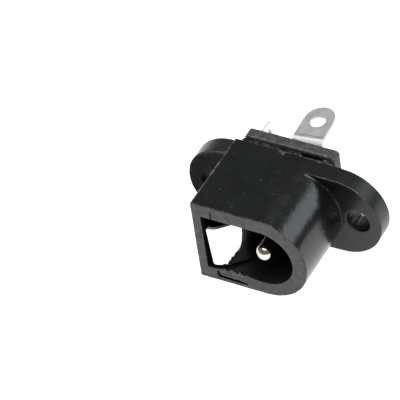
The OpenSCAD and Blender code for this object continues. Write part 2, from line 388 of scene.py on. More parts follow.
def black_plastic():
    m = Mat("black_moulded_plastic")
    wear_and_glint = m.attr("wear_and_glint")
    cloud = m.noise(0.35, 3, 0.6, w=1.0)
    fine = m.noise(3.2, 4, 0.65, w=2.0)
    tiny = m.noise(14.0, 2, 0.6, w=5.0)
    base = m.mix(m.range(cloud, 0.35, 0.7, 0, 1), (0.0058, 0.0072, 0.0067), (0.0092, 0.0108, 0.0100))
    # dust and small pits: a few cells of a cell pattern hold a pale speck
    vo = m.voronoi(1.7)
    near = m.range(m.math("ADD", vo.outputs["Distance"], m.range(fine, 0.3, 0.7, -0.07, 0.07)), 0.03, 0.14, 1.0, 0.0)
    sep = m.new("ShaderNodeSeparateColor")
    m.t.links.new(vo.outputs["Color"], sep.inputs[0])
    pick = m.math("POWER", m.range(sep.outputs[0], 0.5, 1.0, 0.0, 1.0), 1.5)
    pick = m.math("MULTIPLY", pick, m.range(m.noise(0.5, 2, 0.6, w=21.0), 0.38, 0.56, 0.1, 1.0))
    speck = m.math("MULTIPLY", near, pick)
    vo2 = m.voronoi(3.1)
    near2 = m.range(vo2.outputs["Distance"], 0.05, 0.14, 1.0, 0.0)
    sep2 = m.new("ShaderNodeSeparateColor")
    m.t.links.new(vo2.outputs["Color"], sep2.inputs[0])
    pick2 = m.range(sep2.outputs[1], 0.84, 0.87, 0.0, 1.0)
    # rubbed patches, where the marks crowd together
    patch = m.range(m.noise(0.42, 2, 0.5, w=12.0), 0.47, 0.62, 0.0, 1.0)
    speck2 = m.math("MULTIPLY", m.math("MULTIPLY", near2, pick2), m.range(patch, 0, 1, 0.25, 1.0))
    sc1 = streaks(m, (0, 0, 28), (0.9, 13, 9), 0.685, 1.3)
    sc2 = streaks(m, (8, 12, -52), (0.8, 11, 10), 0.69, 4.4)
    scr = m.math("MULTIPLY", m.math("MAXIMUM", sc1, sc2), patch)
    # Pale worn colour where the mesh's wear weight is set: real chips, nicks, flash and the torn flake, and also
    # painted highlights along the round-end junction, the ear burr and the top-left corner, and a painted reflection on
    # the boss sides.
    wn = m.noise(5.5, 3, 0.7, w=8.0)
    worn_and_glint = m.math("MULTIPLY", wear_and_glint, m.range(wn, 0.45, 0.60, 0.15, 1.0))
    col = m.mix(m.math("MULTIPLY", scr, 0.5), base, (0.08, 0.083, 0.081))
    col = m.mix(m.math("MULTIPLY", speck2, 0.5), col, (0.05, 0.053, 0.05))
    col = m.mix(m.math("MULTIPLY", speck, 0.75), col, (0.26, 0.27, 0.26))
    col = m.mix(worn_and_glint, col, (0.34, 0.345, 0.335))
    # satin skin with glossier and duller clouds
    rough = m.math("ADD", m.range(fine, 0.3, 0.72, 0.13, 0.20), m.range(cloud, 0.3, 0.7, -0.02, 0.03))
    rough = m.math("ADD", rough, m.math("MULTIPLY", scr, 0.15))
    rough = m.math("ADD", rough, m.math("MULTIPLY", patch, 0.04))
    x_, y_, z_ = m.axis(0), m.axis(1), m.axis(2)
    flange = m.math("MULTIPLY", m.math("GREATER_THAN", y_, 0.04), m.math("MAXIMUM", m.range(x_, 1.2, 5.0, 0.0, 1.0), m.math("LESS_THAN", x_, -8.2)))
    hollow = m.math("MULTIPLY", m.math("LESS_THAN", m.math("ABSOLUTE", z_), 3.84), m.math("LESS_THAN", x_, 3.84))
    hollow = m.math("MULTIPLY", hollow, m.math("GREATER_THAN", x_, -7.12))
    hollow = m.math("MULTIPLY", hollow, m.math("GREATER_THAN", y_, -8.66))
    rough = m.math("ADD", rough, m.math("MULTIPLY", flange, 0.13))
    rough = m.math("ADD", rough, m.math("MULTIPLY", hollow, 0.22))
    rough = m.math("ADD", rough, m.math("MULTIPLY", worn_and_glint, 0.3), clamp=True)
    n1 = m.bump(m.noise(0.55, 2, 0.5, w=9.0), 1.5e-5)
    n1 = m.bump(m.noise(1.7, 3, 0.6, w=15.0), 2.4e-5, normal=n1)
    n2 = m.bump(fine, 6.5e-6, normal=n1)
    n3 = m.bump(tiny, 7e-7, normal=n2)
    n4 = m.bump(m.math("MULTIPLY", m.math("MAXIMUM", scr, speck2), -1.0), 4e-6, normal=n3)
    m.set(Base_Color=col, Roughness=rough, Normal=n4, IOR=1.5)
    # lower specular level on the ear face, a painted shade that darkens the floor it reflects near the body; duller
    # cavity, mottled mating face
    ear_face = m.math("MULTIPLY", m.math("LESS_THAN", m.math("ABSOLUTE", y_), 0.045), m.math("GREATER_THAN", x_, 3.0))
    rim = m.math("LESS_THAN", y_, -8.74)
    mottle = m.range(m.noise(1.5, 4, 0.7, w=31.0), 0.34, 0.66, -0.17, 0.17)
    spec = m.math("ADD", m.range(flange, 0.0, 1.0, 0.5, 0.39), m.math("MULTIPLY", rim, mottle))
    spec = m.math("SUBTRACT", spec, m.math("MULTIPLY", ear_face, 0.18))
    spec = m.math("SUBTRACT", spec, m.math("MULTIPLY", hollow, 0.17))
    spec = m.math("SUBTRACT", spec, m.math("MULTIPLY", m.math("MULTIPLY", flange, m.math("GREATER_THAN", x_, 6.0)), 0.07))
    crown = m.math("MULTIPLY", m.math("MULTIPLY", flange, m.math("LESS_THAN", x_, -8.2)), m.range(z_, 4.3, 4.9, 0.0, 1.0))
    spec = m.math("ADD", spec, m.math("MULTIPLY", crown, 0.45))
    m.put(m.b.inputs["Specular IOR Level"], spec)
    return m.m


def laminate():
    m = Mat("black_paper_laminate")
    edge = m.attr("wear_and_glint")
    fib = m.noise(1.0, 5, 0.7, co=m.mapping(scale=(2.2, 9.0, 3.0)), w=1.0)
    blot = m.noise(3.4, 4, 0.72, w=2.0)
    grit = m.noise(11.0, 3, 0.7, w=3.0)
    face = m.mix(m.range(m.noise(0.8, 4, 0.6, w=4.0), 0.35, 0.7, 0, 1), (0.011, 0.011, 0.012), (0.019, 0.018, 0.018))
    dots = m.voronoi(4.2)
    dot = m.range(dots.outputs["Distance"], 0.04, 0.11, 1.0, 0.0)
    sep = m.new("ShaderNodeSeparateColor")
    m.t.links.new(dots.outputs["Color"], sep.inputs[0])
    dot = m.math("MULTIPLY", dot, m.range(sep.outputs[2], 0.80, 0.82, 0, 1))
    face = m.mix(m.math("MULTIPLY", dot, 0.5), face, (0.09, 0.09, 0.09))
    torn = m.math("ADD", m.math("MULTIPLY", fib, 0.5), m.math("MULTIPLY", blot, 0.5))
    side = m.ramp(torn, [(0.34, (0.012, 0.012, 0.014)), (0.46, (0.03, 0.031, 0.034)), (0.56, (0.085, 0.087, 0.092)), (0.68, (0.17, 0.172, 0.18))])
    # the edge of the side that faces the moulding is scuffed paler
    lip = m.math("LESS_THAN", m.axis(1), 3.42)
    scuffed = m.ramp(torn, [(0.36, (0.1, 0.1, 0.105)), (0.52, (0.2, 0.2, 0.21)), (0.7, (0.55, 0.55, 0.56))])
    col = m.mix(edge, face, m.mix(lip, side, scuffed))
    rough = m.math("ADD", m.range(grit, 0.3, 0.7, 0.28, 0.42), m.math("MULTIPLY", edge, 0.32))
    n1 = m.bump(blot, 1.2e-5)
    n2 = m.bump(m.math("MULTIPLY", m.math("ADD", fib, grit), edge), 1.6e-5, normal=n1)
    m.set(Base_Color=col, Roughness=rough, Normal=n2, IOR=1.52)
    return m.m


def tin(name, bright):
    """Tin-plated sheet. bright: the part in front of the board (small y) is polished like a mirror."""
    m = Mat(name)
    y = m.axis(1)
    cloud = m.noise(0.9, 4, 0.6, w=1.0)
    fine = m.noise(6.0, 4, 0.7, w=2.0)
    brush = m.noise(1.0, 3, 0.6, co=m.mapping(scale=(14.0, 0.9, 14.0)), w=3.0)
    sc = streaks(m, (10, 30, 20), (16, 0.8, 12), 0.655, 2.2)
    sc2 = streaks(m, (50, -20, 60), (15, 0.7, 11), 0.665, 6.2)
    scr = m.math("MAXIMUM", sc, sc2)
    pol = m.range(y, 1.6, 2.6, 1.0, 0.0) if bright else 0.0
    base = m.mix(m.range(cloud, 0.3, 0.75, 0, 1), (0.76, 0.76, 0.745), (0.86, 0.86, 0.85))
    base = m.mix(m.math("MULTIPLY", scr, 0.5), base, (0.50, 0.50, 0.49))
    if bright:
        base = m.mix(pol, base, (0.83, 0.825, 0.81))
    else:
        # The foot of the tag at its bend is painted near-white and made much less metallic: a painted highlight where
        # the foot looks blown out.
        glare_foot = m.math("MULTIPLY", m.math("LESS_THAN", y, 5.2), m.math("GREATER_THAN", m.axis(2), 5.0))
        base = m.mix(glare_foot, base, (0.95, 0.95, 0.94))
        # A thin darker line just above the bend: painted shade in the fold.
        fold_shade = m.math("MULTIPLY", m.range(m.math("ABSOLUTE", m.math("SUBTRACT", y, 5.52)), 0.04, 0.1, 1.0, 0.0), m.math("GREATER_THAN", m.axis(2), 5.0))
        base = m.mix(m.math("MULTIPLY", fold_shade, 0.6), base, (0.3, 0.3, 0.3))
    rough = m.range(m.math("ADD", m.math("MULTIPLY", fine, 0.5), m.math("MULTIPLY", cloud, 0.5)), 0.35, 0.65, 0.27, 0.40)
    rough = m.math("ADD", rough, m.math("MULTIPLY", scr, 0.1))
    if bright:
        rough = m.math("MULTIPLY", rough, m.range(y, 1.6, 2.6, 0.17, 1.0))
    cut = m.range(m.attr("wear_and_glint"), 0.1, 0.4, 0.0, 1.0)
    rough = m.math("ADD", rough, m.math("MULTIPLY", cut, 0.3), clamp=True)
    metal = m.math("SUBTRACT", 0.78 if not bright else 1.0, m.math("MULTIPLY", cut, 0.6 if not bright else 0.8))
    if not bright:
        metal = m.math("SUBTRACT", metal, m.math("MULTIPLY", glare_foot, 0.7), clamp=True)
    n1 = m.bump(cloud, 6e-6 if not bright else 3e-6)
    n2 = m.bump(m.math("ADD", brush, fine), 1.3e-6 if not bright else 5e-7, normal=n1)
    m.set(Base_Color=base, Roughness=rough, Normal=n2, Metallic=metal)
    return m.m


def nickel():
    m = Mat("bright_nickel_pin")
    y = m.axis(1)
    cloud = m.noise(1.4, 4, 0.6, w=1.0)
    fine = m.noise(9.0, 3, 0.7, w=2.0)
    turn = m.noise(1.0, 3, 0.6, co=m.mapping(scale=(0.25, 26.0, 0.25)), w=3.0)
    tail = m.range(y, 4.0, 4.9, 0.0, 1.0)
    nick = m.mix(m.range(cloud, 0.3, 0.75, 0, 1), (0.66, 0.61, 0.55), (0.76, 0.72, 0.66))
    cream = m.mix(m.range(cloud, 0.3, 0.7, 0, 1), (0.74, 0.66, 0.50), (0.80, 0.75, 0.64))
    base = m.mix(tail, nick, cream)
    rough = m.math("ADD", m.range(fine, 0.3, 0.7, 0.055, 0.11), m.math("MULTIPLY", tail, 0.14))
    n1 = m.bump(turn, 4e-7)
    n2 = m.bump(cloud, 1.2e-6, normal=n1)
    m.set(Base_Color=base, Roughness=rough, Normal=n2, Metallic=1.0)
    return m.m


BLACK, LAMINATE, TIN, TIN_BRIGHT, NICKEL = black_plastic(), laminate(), tin("tin_plated_tag", False), tin("tin_plated_spring", True), nickel()


# ---------------------------------------------------------------- housing
def fillet(P, N, r, y0, sense, steps=4):
    """Rings round an edge from the face at y0 (moved in by r) to the wall. sense 1: the wall runs to larger y."""
    out = []
    for k in range(steps + 1):
        t = math.pi / 2 * k / steps
        ins = r * (1 - math.sin(t))
        out.append(xz(P - N * np.broadcast_to(ins, (len(P),))[:, None], y0 + sense * r * (1 - math.cos(t))))
    return out


def chips(P, y, seed, base, amp, size):
    """Edge radius along an outline: a base value with noise and small nicks."""
    q = xz(P, y)
    n = noise(q, size, seed) * 0.6 + noise(q, size * 0.37, seed + 1) * 0.4
    nick = np.clip(noise(q, size * 0.8, seed + 2) - 0.42, 0, 1) / 0.58
    return np.clip(base + amp * n, base * 0.35, None) + nick * amp * 2.2, nick


# junction of the round end with the straight, slightly tapered side of the ear
d_ = math.hypot(EAR_B + 4.4, HR)
th_ = 180 - math.degrees(math.atan2(HR, EAR_B + 4.4)) - math.degrees(math.acos(EAR_R / d_))
TX, TZ = EAR_B + EAR_R * math.cos(math.radians(th_)), EAR_R * math.sin(math.radians(th_))
slope = (TZ - HR) / (TX + 4.4)
lo_, hi_ = 0.5, 3.0
for _ in range(60):
    mid_ = (lo_ + hi_) / 2
    if math.sqrt(HR * HR - mid_ * mid_) > HR + slope * (mid_ + 4.4):
        lo_ = mid_
    else:
        hi_ = mid_
JX = (lo_ + hi_) / 2
JA = math.degrees(math.acos(JX / HR))
JZ = HR * math.sin(math.radians(JA))
LZ = math.sqrt(EAR_R ** 2 - (EAR_A - FLAT) ** 2)
LA = math.degrees(math.atan2(LZ, EAR_A - FLAT))
RC = 0.1
S = 0.13

top_part = join(arc((0, 0), HR, JA, 90, S), line((0, HR), (-FLAT + RC, HR), S), arc((-FLAT + RC, HR - RC), RC, 90, 180, 0.03), line((-FLAT, HR - RC), (-FLAT, LZ), 0.06))
bot_part = join(line((-FLAT, -LZ), (-FLAT, -HR + RC), 0.06), arc((-FLAT + RC, -HR + RC), RC, 180, 270, 0.03), line((-FLAT + RC, -HR), (0, -HR), S), arc((0, 0), HR, -90, -JA, S))
d_right = arc((0, 0), HR, -JA, JA, S)
d_left = line((-FLAT, LZ), (-FLAT, -LZ), S)
e_right = join(line((JX, -JZ), (TX, -TZ), S), arc((EAR_B, 0), EAR_R, -th_, th_, S), line((TX, TZ), (JX, JZ), S))
e_left = arc((-EAR_A, 0), EAR_R, LA, 360 - LA, S)
D = join(d_right, top_part, d_left, bot_part)
U = join(e_right, top_part, e_left, bot_part)
C = rounded([(-CFLAT, CR), (-CFLAT, -CR), (CR, -CR), (CR, CR)], [0.12, 0.12, CR, CR], 0.1)
nR, nT, nL = len(e_right[0]), len(top_part[0]), len(e_left[0])

hb = Build()
# outer wall of the body, front edge rounded with small nicks
r_front, nick_f = chips(D[0], FRONT, 11, 0.06, 0.065, 0.38)
ys = np.concatenate([np.arange(FRONT + 0.3, -0.2, 0.3), [-0.15, -0.06, 0.0]])
round_end = D[0][:, 0] > JX + 0.15
rings = fillet(D[0], D[1], r_front, FRONT, 1)
edge_f = np.clip(0.06 + 0.65 * noise(xz(D[0], FRONT), 0.8, 13) + nick_f * 1.8, 0, 1)
wf = [0.3 * edge_f, edge_f, edge_f, edge_f, 0.3 * edge_f]
wl = np.zeros(len(D[0]))
# The top-left corner edge is pushed out a little in places, and along it the wear weight paints a paler broken line: a
# painted highlight on that rounded edge.
corner = np.hypot(D[0][:, 0] + FLAT, D[0][:, 1] - HR) < 0.12
q_ = xz(D[0], 0)
for y in ys:
    nz = noise(np.stack([D[0][:, 0] * 0, np.full(len(D[0]), y), D[0][:, 1] * 0], 1), 0.7, 5)
    rings.append(xz(D[0] + D[1] * (corner * (y > FRONT + 0.4) * np.clip(nz * 0.05, 0, 0.03))[:, None], y))
    wf.append(np.where(corner, np.clip(0.55 + 0.9 * nz, 0, 1), 0.0))
    # Just in front of the ear the round end is pushed out slightly as a small fillet, and its wear weight of 0.17
    # paints a pale line there: a painted highlight along the junction.
    if y == -0.06:
        rings[-1] = rings[-1] + xz(D[1] * (round_end * 0.05)[:, None], 0) * [1, 0, 1]
        wf[-1] = np.where(round_end, 0.17, wf[-1])
hb.rings(rings, wf)
front_outer = rings[0][:, [0, 2]]
# opening wall; the front edge carries thin ragged flash along its lower left part
r_in, nick_i = chips(C[0], FRONT, 31, 0.04, 0.03, 0.7)
Ci = as_hole(C)
q = xz(C[0], FRONT)
low = np.clip(1.6 - np.abs(C[0][:, 0] + 3.6) / 1.7, 0, 1) * (C[0][:, 1] < -3.6)
flash = low * np.clip(0.35 + noise(q, 0.3, 41) * 0.8 + noise(q, 0.14, 42) * 0.6, 0, 1) * 0.34
rings = fillet(Ci[0], Ci[1], r_in, FRONT, 1)
rings[0] = xz(C[0] - C[1] * (-(r_in + low * 0.1 * np.clip(noise(q, 0.22, 43) + 0.2, 0, 1)))[:, None], FRONT)
lift = xz(C[0] + Ci[1] * flash[:, None], FRONT + r_in + 0.05)
rings[-1] = lift
low = low * 0.5
wi = [low, np.clip(0.2 + 0.8 * nick_i + low, 0, 1), np.clip(0.2 + 0.8 * nick_i + low, 0, 1), np.clip(0.2 + nick_i + low, 0, 1), low]
for y in np.concatenate([[FRONT + 0.22], np.arange(FRONT + 0.5, 1.55, 0.5), [1.6]]):
    rings.append(xz(C[0], y)); wi.append(np.zeros(len(C[0])))
hb.rings(rings, wi)
front_inner = rings[0][:, [0, 2]]


def groove(pts, w):
    """Closed outline of a thin mark along a broken line, with ragged sides; w holds its width at each point."""
    pts = np.array(pts, float)
    ws = np.concatenate([np.linspace(a, b, max(2, int(np.linalg.norm(q - p) / 0.09)), endpoint=False) for a, b, p, q in zip(w[:-1], w[1:], pts[:-1], pts[1:])] + [[w[-1]]])
    seg = []
    for a, b in zip(pts[:-1], pts[1:]):
        n = max(2, int(np.linalg.norm(b - a) / 0.09))
        seg.append(a + (b - a) * np.arange(n)[:, None] / n)
    c = np.concatenate(seg + [pts[-1:]])
    d = np.gradient(c, axis=0)
    d /= np.linalg.norm(d, axis=1)[:, None]
    n = np.stack([-d[:, 1], d[:, 0]], 1)
    k = xz(c, 0)
    wl_ = ws / 2 * (1 + 0.4 * noise(k, 0.2, 3))
    wr_ = ws / 2 * (1 + 0.4 * noise(k, 0.2, 4))
    return np.concatenate([c + n * wl_[:, None], (c - n * wr_[:, None])[::-1]])


m1 = [(-5.68, 4.85), (-5.71, 4.3), (-5.74, 3.98)]
m2 = [(-5.83, -4.04), (-5.78, -4.4), (-5.58, -4.74), (-5.2, -4.84), (-4.4, -4.83), (-3.4, -4.86), (-2.4, -4.88)]
marks = [groove(m1, (0.16, 0.18, 0.22)), groove(m2, (0.22, 0.32, 0.52, 0.3, 0.42, 0.38, 0.22))]
marks_in = [groove(m1, (0.1, 0.12, 0.15)), groove(m2, (0.14, 0.22, 0.42, 0.2, 0.32, 0.28, 0.12))]
v, f = fill([front_outer, front_inner], hexgrid((-8.2, -5.6), (5.6, 5.6), 0.2), 0.1, marks + marks_in)
deep = np.zeros(len(v))
for L, dep in zip(marks_in, (0.15, 0.5)):
    on = inside(v, [L])
    dist = np.linalg.norm(v[:, None] - L[None], axis=2).min(1)
    deep = np.maximum(deep, np.where(on | (dist < 1e-4), dep, 0))
p3 = xz(v, FRONT)
p3[:, 1] += deep + 0.006 * noise(p3, 1.3, 51) * (np.linalg.norm(v[:, None] - np.concatenate([front_outer, front_inner])[None, ::3], axis=2).min(1) > 0.12)
hb.add(p3, f, 0.0)

# flange: side walls, with a thin ragged burr at the front edge of the round-end ear and along the rear edges
Pu, Nu = U
arc_len = np.concatenate([[0], np.cumsum(np.linalg.norm(np.diff(Pu, axis=0), axis=1))])
ear = np.zeros(len(Pu)); ear[:nR] = 1; ear[nR + nT:nR + nT + nL] = 1
fade = np.ones(len(Pu))
sR, sL = arc_len[:nR], arc_len[nR + nT:nR + nT + nL]
fade[:nR] = np.clip(np.minimum(sR - sR[0], sR[-1] + S - sR) / 0.7, 0, 1)
fade[nR + nT:nR + nT + nL] = np.clip(np.minimum(sL - sL[0], sL[-1] + S - sL) / 0.5, 0, 1)
r0, nick0 = chips(Pu, 0.0, 61, 0.07, 0.03, 1.1)
r0 = r0 * ear * fade
k3 = xz(Pu, 0.0)
up_r = ((Pu[:, 1] > 2.2) & (Pu[:, 0] > JX - 0.1)) * np.clip((8.6 - Pu[:, 0]) / 1.6, 0, 1)
burr0 = up_r * (0.05 + 0.05 * np.clip(noise(k3, 0.5, 71) + 0.2, 0, 1))
r1, nick1 = chips(Pu, FT, 81, 0.06, 0.035, 0.9)
k3 = xz(Pu, FT)
top_band = (Pu[:, 1] > 5.3).astype(float)
fin = (0.25 + 0.75 * top_band) * np.clip(noise(k3, 0.42, 91) * 0.7 + noise(k3, 0.17, 92) * 0.4 + 0.3, 0, 1) * 0.045
fin = np.where(Pu[:, 1] < -5.3, 0, fin)
rings = fillet(Pu, Nu, r0, 0.0, 1)
wts = [ear * (0.05 + 0.5 * nick0)] * 4 + [np.zeros(len(Pu))]
# the burr stands out just behind the front edge
rings[2] = rings[2] + xz(Nu * (burr0 * 0.8)[:, None], 0) * [1, 0, 1]
rings[3] = rings[3] + xz(Nu * burr0[:, None], 0) * [1, 0, 1]
# The burr's raised wear weights paint it pale: a real burr carrying a painted highlight.
wts[1] = np.clip(wts[1] + (burr0 > 0.02) * 0.4, 0, 1); wts[2] = np.clip(wts[2] + (burr0 > 0.02) * 0.9, 0, 1); wts[3] = np.clip(wts[3] + burr0 * 16, 0, 1)
for y in (0.24, 0.6, 1.0, 1.4, 1.75):
    nz = noise(np.stack([Pu[:, 0] * 0, np.full(len(Pu), y), Pu[:, 1] * 0], 1), 0.7, 5)
    # The same paler broken line on the top-left corner: a painted highlight on the rounded edge.
    cn = np.hypot(Pu[:, 0] + FLAT, Pu[:, 1] - HR) < 0.12
    rings.append(xz(Pu, y)); wts.append(np.where(cn, np.clip(0.55 + 0.9 * nz, 0, 1), 0.0))
rings.append(xz(Pu, FT - 0.16)); wts.append(np.zeros(len(Pu)))
rings.append(xz(Pu + Nu * (fin * 0.5)[:, None], FT - 0.08)); wts.append(np.clip(fin * 3, 0, 0.2))
rings.append(xz(Pu + Nu * fin[:, None], FT - 0.01)); wts.append(np.clip(fin * 6 + 0.16 * top_band, 0, 0.4))
rings.append(xz(Pu + Nu * (fin * 0.5 - r1 * 0.3)[:, None], FT)); wts.append(np.clip(fin * 8, 0, 1))
rings.append(xz(Pu - Nu * r1[:, None], FT)); wts.append(np.zeros(len(Pu)))
hb.rings(rings, wts)
rear_outer = rings[-1][:, [0, 2]]
cap0 = rings[0][:, [0, 2]]


def hole_rings(cx, seed):
    P, N = circle((cx, 0), HOLE_R, 0.12, hole=True)
    out = []
    for k in range(4):
        t = math.pi / 2 * k / 3
        out.append(xz(P - N * (0.02 * (1 - math.sin(t))), 0.02 * (1 - math.cos(t))))
    # two shallow flats left by the core pin run down the hole
    a = np.arctan2(P[:, 1], P[:, 0] - cx)
    rib = 0.17 * np.exp(-((a + 2.1) / 0.2) ** 2) + 0.15 * np.exp(-((a + 2.9) / 0.15) ** 2) + 0.1 * np.exp(-((a - 0.9) / 0.2) ** 2)
    for y in (0.3, 0.7, 1.1, 1.5, 1.85):
        out.append(xz(P + N * (rib * 0.7)[:, None], y))
    for k in range(4):
        t = math.pi / 2 * (3 - k) / 3
        out.append(xz(P - N * (0.02 * (1 - math.sin(t))), FT - 0.02 * (1 - math.cos(t))))
    hb.rings([o + xz(N * (0.16 * np.clip(o[:, 1] / FT, 0, 1))[:, None], 0) * [1, 0, 1] for o in out])
    return out[0][:, [0, 2]], (out[-1] + xz(N * 0.16, 0) * [1, 0, 1])[:, [0, 2]]


hRf, hRr = hole_rings(HOLE_B, 1)
hLf, hLr = hole_rings(-HOLE_A, 2)


def flat_cap(loops, y, h, clear, seed, amp, bounds_):
    v, f = fill(loops, hexgrid(bounds_[0], bounds_[1], h), clear)
    p = xz(v, y)
    every = np.concatenate(loops)[::2]
    d = np.concatenate([np.linalg.norm(v[k:k + 2000, None] - every[None], axis=2).min(1) for k in range(0, len(v), 2000)])
    p[:, 1] += amp * noise(p, 1.7, seed) * np.clip((d - 0.1) / 0.5, 0, 1)
    hb.add(p, f, 0.0)


jR = np.concatenate([cap0[:nR], top_part[0][:1]])          # ear outline from one junction to the other
right_loop = np.concatenate([jR, d_right[0][1:][::-1]])
flat_cap([right_loop, hRf], 0.0, 0.42, 0.2, 101, 0.004, ((0, -5.5), (10.4, 5.5)))
jL = np.concatenate([cap0[nR + nT:nR + nT + nL], bot_part[0][:1]])
left_loop = np.concatenate([jL, d_left[0][1:][::-1]])
flat_cap([left_loop, hLf], 0.0, 0.42, 0.2, 102, 0.004, ((-13.6, -5.5), (-8, 5.5)))

# channel for the spring behind y = 1.6
CH0, CH1 = LUG_Z - 1.85, LUG_Z + 1.85
i0 = int(np.argmin(np.linalg.norm(C[0] - [-CFLAT, CH1], axis=1)))
i1 = int(np.argmin(np.linalg.norm(C[0] - [-CFLAT, CH0], axis=1)))
nC = len(C[0])
step_ = 1 if (i1 - i0) % nC < nC / 2 else -1
cut = C[0][[(i0 + step_ * k) % nC for k in range(abs(((i1 - i0) * step_) % nC) + 1)]]
rest_i = [(i1 + step_ * k) % nC for k in range(((i0 - i1) * step_) % nC + 1)]
ch = np.array([(-7.95, cut[0][1]), (-7.95, cut[-1][1])])
inner_loop = np.concatenate([C[0][rest_i], ch])            # opening and channel together
cv, cf = fill([np.concatenate([cut, ch[::-1]])], None, 0.1)
hb.add(xz(cv, 1.6), cf, 0.0)
hb.rings([xz(inner_loop, 1.6), xz(inner_loop, FT)])
flat_cap([rear_outer, hRr, hLr, inner_loop], FT, 0.5, 0.22, 103, 0.005, ((-13.6, -5.6), (10.4, 5.6)))

# torn flake of flash that lies over the rear edge on top of the body
fl = np.array([(-3.25, 2.2, 5.5), (-2.95, 1.98, 5.53), (-2.62, 1.86, 5.545), (-2.38, 1.62, 5.535), (-2.16, 1.7, 5.55), (-1.95, 1.52, 5.51), (-1.86, 1.8, 5.52), (-1.7, 2.12, 5.5)])
fl_in = fl * [1, 1, 1] + np.stack([np.zeros(8), (2.2 - fl[:, 1]) * 0.25, np.full(8, 0.035)], 1)
n8 = len(fl)
vv = np.concatenate([fl, fl_in, fl * [1, 1, 0] + [0, 0, 5.47]])
ff = [(i, (i + 1) % n8, n8 + (i + 1) % n8, n8 + i) for i in range(n8)] + [tuple(range(n8, 2 * n8))] + [(2 * n8 + i, 2 * n8 + (i + 1) % n8, (i + 1) % n8, i) for i in range(n8)] + [tuple(range(3 * n8 - 1, 2 * n8 - 1, -1))]
hb.add(vv, ff, 0.22)

# boss behind the flange: sloped ends, cut corners, a gap left under the board's upper edge
def boss_outline(y):
    xl = -8.38 + 0.33 * (y - 1.85) / 1.5
    xr = 3.5 - 0.25 * (y - 1.85) / 1.5
    zl, zr = 4.15 + (xl + 8.35), 4.15 + (3.5 - xr)
    corners = [(xr, -zr), (xr, zr), (2.9, 4.75), (2.7, 4.75), (-0.35, 4.75), (-7.75, 4.75), (xl, zl), (xl, -zl), (-7.75, -4.75), (2.9, -4.75)]
    cnt = [56, 6, 3, 24, 56, 8, 60, 8, 80, 6]
    P = []
    for (a, b, n) in zip(corners, corners[1:] + corners[:1], cnt):
        a, b = np.array(a), np.array(b)
        P.append(a + (b - a) * np.arange(n)[:, None] / n)
    return np.concatenate(P)


bb = Build()
rings, wts = [], []
slit = None
for y in (1.8, FT, FT + 0.06, 2.4, 2.7, 2.9, 2.94, 3.1, 3.29, 3.335, Y_BOSS):
    P = boss_outline(min(y, 3.35))
    if slit is None:
        slit = (P[:, 1] > 4.7) & (P[:, 0] > -0.36) & (P[:, 0] < 2.1)
    k3 = xz(P, y)
    cen = P - [(-2.4), 0]
    nrm = cen / np.linalg.norm(cen, axis=1)[:, None]
    rag = noise(k3, 0.3, 111) * 0.035 * (y > 2.3)
    P = P - nrm * (0.03 + rag + (0.05 if y >= 3.33 else 0.0) + (0.03 if y == Y_BOSS else 0.0))[:, None]
    if y > 2.92:
        P = np.where(slit[:, None], np.stack([P[:, 0], 4.08 + 0.07 * noise(k3, 0.25, 112)], 1), P)
    rings.append(xz(P, y))
    # From y = 2.5 back the boss sides get a ragged pale wear weight: partly ragged texture, partly a painted reflection
    # standing in for the light these sides reflect.
    wts.append(0.0 if y < 2.5 else np.clip(0.17 + 0.3 * noise(k3, 0.35, 113), 0, 1) * ~(slit & (y > 2.92)))
bb.rings(rings, wts)
out_loop = rings[-1][:, [0, 2]]
grown = inner_loop + 0.25 * (inner_loop - [-2.0, 0]) / np.linalg.norm(inner_loop - [-2.0, 0], axis=1)[:, None]
bb.rings([xz(grown, 1.8), xz(grown, FT - 0.02), xz(inner_loop, FT - 0.02), xz(inner_loop, 2.7), xz(inner_loop, Y_BOSS)])
v, f = fill([out_loop, inner_loop], hexgrid((-8.4, -4.8), (3.6, 4.8), 0.5), 0.2)
bb.add(xz(v, Y_BOSS), f, 0.0)
v, f = fill([rings[0][:, [0, 2]], grown], None, 0.2)
bb.add(xz(v, 1.8), f, 0.0)
hb.add(np.concatenate(bb.v), bb.f, np.concatenate(bb.w))
housing = hb.obj("housing_moulding", "housing", "housing_plastic", BLACK)

# ---------------------------------------------------------------- laminate board
nb = Build()
A, B, HW, CUT = 7.65, 3.45, 5.2, 0.3
NZ0, NZ1, NX = LUG_Z - 1.85, LUG_Z + 1.85, -7.37
O = rounded([(-A + CUT, HW), (-A, HW - CUT), (-A, NZ1), (NX, NZ1), (NX, NZ0), (-A, NZ0), (-A, -HW + CUT), (-A + CUT, -HW), (B - CUT, -HW), (B, -HW + CUT), (B, HW - CUT), (B - CUT, HW)],
            [0.12, 0.12, 0.08, 0.05, 0.05, 0.08, 0.12, 0.12, 0.12, 0.12, 0.12, 0.12], 0.085)
SX, SZ, SW = -3.3, -1.36, 2.96
slot = rounded([(SX - 0.22, SZ + SW / 2 + 0.04), (SX - 0.22, SZ - SW / 2 - 0.04), (SX + 0.22, SZ - SW / 2 - 0.04), (SX + 0.22, SZ + SW / 2 + 0.04)], [0.03] * 4, 0.15)
rings, wts = [], []
depth = Y_BOARD - Y_BOSS
levels = [(0.06, 0.0), (0.03, 0.01), (0.01, 0.035)] + [(0.0, s) for s in np.linspace(0.1, depth - 0.12, 12)] + [(0.005, depth - 0.05), (0.02, depth - 0.012), (0.05, depth)]
